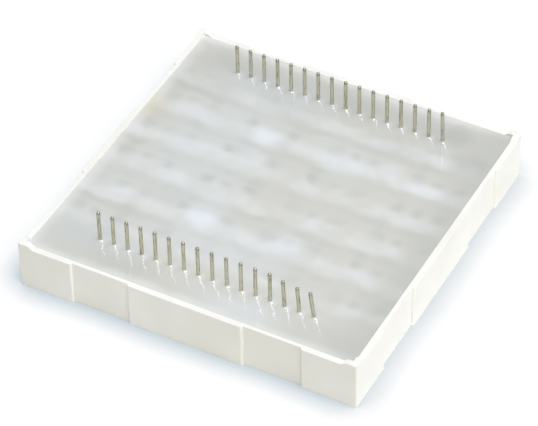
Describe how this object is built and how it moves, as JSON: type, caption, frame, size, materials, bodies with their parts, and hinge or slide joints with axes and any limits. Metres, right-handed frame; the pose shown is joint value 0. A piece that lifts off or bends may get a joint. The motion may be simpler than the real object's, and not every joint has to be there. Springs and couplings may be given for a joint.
{
  "type": "led dot matrix display",
  "caption": "Square potted LED dot matrix module with stepped sides, corner feet, round dots on its front and two rows of round pins out of its cloudy epoxy back.",
  "frame": {"origin": "middle of the light-emitting face, on the surface the display lies on", "axes": "+Z out through the potted back along the pins, +X along the two rows of pins"},
  "size_m": [0.06, 0.06, 0.0143],
  "materials": {
    "housing": "moulded ivory-white plastic, satin",
    "board": "white solder mask over glass-fibre laminate",
    "potting": "cast cloudy epoxy, glossy",
    "lens": "cast milky epoxy",
    "red_chip": "bare LED chip",
    "green_chip": "bare LED chip",
    "blue_chip": "bare LED chip",
    "pin": "solder-tinned brass wire, slightly dull"
  },
  "bodies": {
    "root": {"housing": "housing", "circuit_board": "board", "potting": "potting", "lens_row_1": "lens", "lens_row_2": "lens", "lens_row_3": "lens", "lens_row_4": "lens", "lens_row_5": "lens", "lens_row_6": "lens", "lens_row_7": "lens", "lens_row_8": "lens", "red_chips": "red_chip", "green_chips": "green_chip", "blue_chips": "blue_chip", "pin_01": "pin", "pin_02": "pin", "pin_03": "pin", "pin_04": "pin", "pin_05": "pin", "pin_06": "pin", "pin_07": "pin", "pin_08": "pin", "pin_09": "pin", "pin_10": "pin", "pin_11": "pin", "pin_12": "pin", "pin_13": "pin", "pin_14": "pin", "pin_15": "pin", "pin_16": "pin", "pin_17": "pin", "pin_18": "pin", "pin_19": "pin", "pin_20": "pin", "pin_21": "pin", "pin_22": "pin", "pin_23": "pin", "pin_24": "pin", "pin_25": "pin", "pin_26": "pin", "pin_27": "pin", "pin_28": "pin", "pin_29": "pin", "pin_30": "pin", "pin_31": "pin", "pin_32": "pin"}
  },
  "joints": []
}
